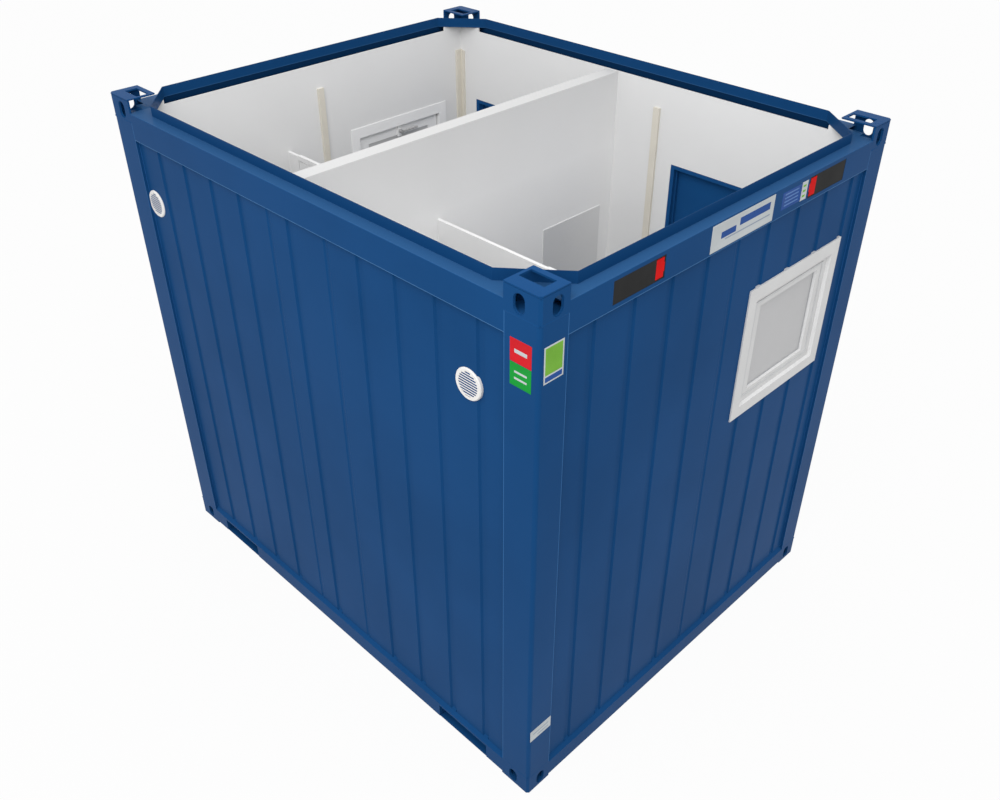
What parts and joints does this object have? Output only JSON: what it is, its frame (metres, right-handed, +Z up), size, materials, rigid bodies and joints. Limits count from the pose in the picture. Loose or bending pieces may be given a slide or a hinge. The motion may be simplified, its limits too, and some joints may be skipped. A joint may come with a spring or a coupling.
{
  "type": "sanitary container",
  "caption": "Blue steel sanitary cabin open at the top, with two rooms, toilets, basins, tilting windows, corner castings and fork pockets.",
  "frame": {"origin": "on the ground under the middle of the container", "axes": "+X along the long side towards the right-hand room, +Y towards the long side with the ventilation grilles, away from the outer doors, +Z up"},
  "size_m": [2.989, 2.435, 2.81],
  "materials": {
    "blue_steel": "semi-gloss blue paint on steel",
    "blue_sheet": "semi-gloss blue paint on profiled sheet",
    "casting": "blue paint on cast steel",
    "sheet_steel": "galvanised sheet",
    "foam": "light rigid foam",
    "board": "floor board",
    "vinyl": "vinyl floor covering",
    "lining": "white coated chipboard",
    "cabin_panel": "white laminate on board",
    "duct": "beige cable duct",
    "window_white": "white window plastic",
    "frosted_glass": "frosted insulating glass",
    "sanitary": "white glazed sanitary ware",
    "seat_plastic": "white seat plastic",
    "chrome": "chromed fitting",
    "steel": "brushed steel",
    "mirror": "mirror glass",
    "grille_white": "white grille plastic",
    "inlet_black": "black recess housing",
    "dark_plastic": "dark fan plastic",
    "red_plastic": "red connector plastic",
    "heater_white": "white enamelled heater"
  },
  "bodies": {
    "container": {"floor_frame": "blue_steel", "floor_pan": "sheet_steel", "insulation": "foam", "floor_board": "board", "floor_covering": "vinyl", "corner_posts": "blue_steel", "castings_bottom": "casting", "castings_top": "casting", "roof_frame": "blue_steel", "cladding_front": "blue_sheet", "cladding_back": "blue_sheet", "cladding_left": "blue_sheet", "cladding_right": "blue_sheet", "lining_front": "lining", "lining_back": "lining", "lining_ends": "lining", "partition": "lining", "cabin_walls": "cabin_panel", "joint_strips": "duct", "window_frame_left": "window_white", "window_frame_right": "window_white", "door_frame_left": "blue_steel", "door_frame_right": "blue_steel", "toilet_pans": "sanitary", "cisterns": "sanitary", "wash_basins": "sanitary", "taps": "chrome", "mirrors": "mirror", "grilles": "grille_white", "vents": "grille_white", "power_inlets": "inlet_black", "heaters": "heater_white"},
    "outer_door_left": {"door_leaf_left": "blue_sheet"},
    "door_lever_left": {"door_handle_left": "steel"},
    "lock_bolt_left": {"door_bolt_left": "steel"},
    "window_left": {"window_sash_left": "window_white", "window_glass_left": "frosted_glass"},
    "window_handle_left": {"window_handle_left": "window_white"},
    "cubicle_door_left": {"cabin_door_left": "cabin_panel"},
    "cubicle_lock_left": {"cabin_lock_left": "steel"},
    "seat_left": {"toilet_seat_left": "seat_plastic"},
    "lid_left": {"toilet_lid_left": "seat_plastic"},
    "flush_left": {"flush_button_left": "chrome"},
    "tap_left": {"tap_lever_left": "chrome"},
    "outer_door_right": {"door_leaf_right": "blue_sheet"},
    "door_lever_right": {"door_handle_right": "steel"},
    "lock_bolt_right": {"door_bolt_right": "steel"},
    "window_right": {"window_sash_right": "window_white", "window_glass_right": "frosted_glass"},
    "window_handle_right": {"window_handle_right": "window_white"},
    "cubicle_door_right": {"cabin_door_right": "cabin_panel"},
    "cubicle_lock_right": {"cabin_lock_right": "steel"},
    "seat_right": {"toilet_seat_right": "seat_plastic"},
    "lid_right": {"toilet_lid_right": "seat_plastic"},
    "flush_right": {"flush_button_right": "chrome"},
    "tap_right": {"tap_lever_right": "chrome"},
    "fan_left": {"fan_rotor_left": "dark_plastic"},
    "fan_right": {"fan_rotor_right": "dark_plastic"},
    "inlet_lid_back": {"inlet_lid_back": "red_plastic"},
    "inlet_lid_front": {"inlet_lid_front": "red_plastic"}
  },
  "joints": [
    {"name": "outer_door_left", "type": "hinge", "parent": "container", "child": "outer_door_left", "pos_m": [-1.2015, -1.2114, 1.2], "axis": [0, 0, -1], "range_deg": [0, 110]},
    {"name": "door_lever_left", "type": "hinge", "parent": "outer_door_left", "child": "door_lever_left", "pos_m": [-0.4065, -1.165, 1.207], "axis": [0, 1, 0], "range_deg": [0, 40], "stiffness_Nm_per_rad": 0.3, "springref_deg": -28.65},
    {"name": "lock_bolt_left", "type": "slide", "parent": "outer_door_left", "child": "lock_bolt_left", "axis": [1, 0, 0], "range_m": [0, 0.012]},
    {"name": "window_tilt_left", "type": "hinge", "parent": "container", "child": "window_left", "pos_m": [-1.4095, -0.578, 1.6215], "axis": [0, 1, 0], "range_deg": [0, 15]},
    {"name": "window_handle_left", "type": "hinge", "parent": "window_left", "child": "window_handle_left", "pos_m": [-1.396, -0.578, 2.166], "axis": [-1, 0, 0], "range_deg": [0, 90]},
    {"name": "cubicle_door_left", "type": "hinge", "parent": "container", "child": "cubicle_door_left", "pos_m": [-0.677, 0.256, 1.2], "axis": [0, 0, 1], "range_deg": [0, 95]},
    {"name": "cubicle_lock_left", "type": "hinge", "parent": "cubicle_door_left", "child": "cubicle_lock_left", "pos_m": [-1.231, 0.27, 1.157], "axis": [0, -1, 0], "range_deg": [0, 90]},
    {"name": "seat_hinge_left", "type": "hinge", "parent": "container", "child": "seat_left", "pos_m": [-0.127, 0.7, 0.573], "axis": [0, 1, 0], "range_deg": [0, 85]},
    {"name": "lid_hinge_left", "type": "hinge", "parent": "container", "child": "lid_left", "pos_m": [-0.127, 0.7, 0.573], "axis": [0, -1, 0], "range_deg": [0, 93]},
    {"name": "flush_press_left", "type": "slide", "parent": "container", "child": "flush_left", "axis": [0, 0, -1], "range_m": [0, 0.005], "stiffness_N_per_m": 400, "springref_m": -0.003},
    {"name": "tap_turn_left", "type": "hinge", "parent": "container", "child": "tap_left", "pos_m": [0.043, -0.772, 1.06], "axis": [0, 0, 1], "range_deg": [-60, 60]},
    {"name": "outer_door_right", "type": "hinge", "parent": "container", "child": "outer_door_right", "pos_m": [1.2505, -1.2114, 1.2], "axis": [0, 0, 1], "range_deg": [0, 110]},
    {"name": "door_lever_right", "type": "hinge", "parent": "outer_door_right", "child": "door_lever_right", "pos_m": [0.4555, -1.165, 1.207], "axis": [0, -1, 0], "range_deg": [0, 40], "stiffness_Nm_per_rad": 0.3, "springref_deg": -28.65},
    {"name": "lock_bolt_right", "type": "slide", "parent": "outer_door_right", "child": "lock_bolt_right", "axis": [-1, 0, 0], "range_m": [0, 0.012]},
    {"name": "window_tilt_right", "type": "hinge", "parent": "container", "child": "window_right", "pos_m": [1.4095, -0.578, 1.6215], "axis": [0, -1, 0], "range_deg": [0, 15]},
    {"name": "window_handle_right", "type": "hinge", "parent": "window_right", "child": "window_handle_right", "pos_m": [1.396, -0.578, 2.166], "axis": [-1, 0, 0], "range_deg": [0, 90]},
    {"name": "cubicle_door_right", "type": "hinge", "parent": "container", "child": "cubicle_door_right", "pos_m": [0.677, 0.256, 1.2], "axis": [0, 0, -1], "range_deg": [0, 95]},
    {"name": "cubicle_lock_right", "type": "hinge", "parent": "cubicle_door_right", "child": "cubicle_lock_right", "pos_m": [1.231, 0.27, 1.157], "axis": [0, 1, 0], "range_deg": [0, 90]},
    {"name": "seat_hinge_right", "type": "hinge", "parent": "container", "child": "seat_right", "pos_m": [0.388, 0.7, 0.573], "axis": [0, -1, 0], "range_deg": [0, 85]},
    {"name": "lid_hinge_right", "type": "hinge", "parent": "container", "child": "lid_right", "pos_m": [0.388, 0.7, 0.573], "axis": [0, 1, 0], "range_deg": [0, 93]},
    {"name": "flush_press_right", "type": "slide", "parent": "container", "child": "flush_right", "axis": [0, 0, -1], "range_m": [0, 0.005], "stiffness_N_per_m": 400, "springref_m": -0.003},
    {"name": "tap_turn_right", "type": "hinge", "parent": "container", "child": "tap_right", "pos_m": [0.218, -0.772, 1.06], "axis": [0, 0, 1], "range_deg": [-60, 60]},
    {"name": "fan_spin_left", "type": "hinge", "parent": "container", "child": "fan_left", "pos_m": [-1.114, 1.16, 2.271], "axis": [0, 1, 0], "continuous": true},
    {"name": "fan_spin_right", "type": "hinge", "parent": "container", "child": "fan_right", "pos_m": [1.257, 1.16, 2.271], "axis": [0, 1, 0], "continuous": true},
    {"name": "inlet_lid_back", "type": "hinge", "parent": "container", "child": "inlet_lid_back", "pos_m": [-1.491, 0.5245, 2.6705], "axis": [0, 0, 1], "range_deg": [0, 100], "stiffness_Nm_per_rad": 0.02, "springref_deg": -34.38},
    {"name": "inlet_lid_front", "type": "hinge", "parent": "container", "child": "inlet_lid_front", "pos_m": [-1.491, -0.5245, 2.6705], "axis": [0, 0, -1], "range_deg": [0, 100], "stiffness_Nm_per_rad": 0.02, "springref_deg": -34.38}
  ],
  "couplings": [
    {"joint": "lock_bolt_left", "follows": "door_lever_left", "m_per_rad": 0.0171},
    {"joint": "lock_bolt_right", "follows": "door_lever_right", "m_per_rad": 0.0171}
  ]
}
